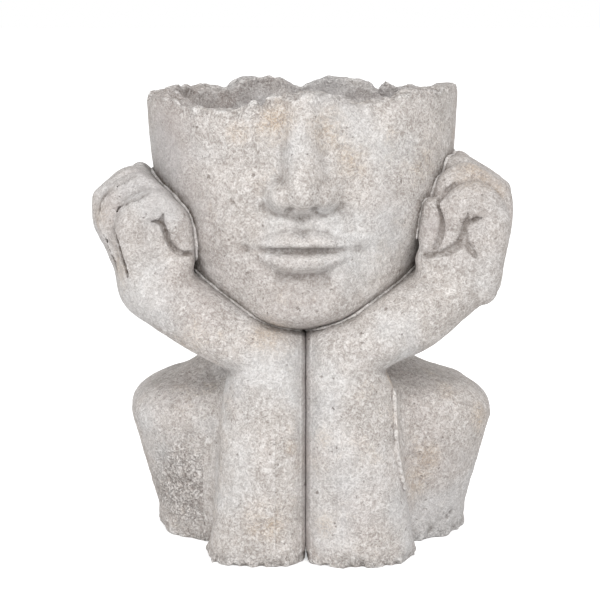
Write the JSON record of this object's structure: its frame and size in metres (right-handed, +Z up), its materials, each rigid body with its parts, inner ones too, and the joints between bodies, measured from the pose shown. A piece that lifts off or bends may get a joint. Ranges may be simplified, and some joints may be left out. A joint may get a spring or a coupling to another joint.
{
  "type": "head planter",
  "caption": "Cement head planter: an open bowl with a broken rim, resting on two forearms with closed hands in front of a hollow bust.",
  "frame": {"origin": "on the ground under the middle of the whole planter", "axes": "+Z up, +X to the right as seen from the front, +Y from the front to the back"},
  "size_m": [0.1979, 0.1517, 0.2188],
  "materials": {
    "cement": "matte, sandy, with ochre stains",
    "mortar": "matte, rough"
  },
  "bodies": {
    "root": {"head_bowl": "cement", "bust": "cement", "neck_mortar_bed": "mortar", "left_arm": "cement", "left_cheek_mortar_bed": "mortar", "left_chest_mortar_bed": "mortar", "right_arm": "cement", "right_cheek_mortar_bed": "mortar", "right_chest_mortar_bed": "mortar"}
  },
  "joints": []
}
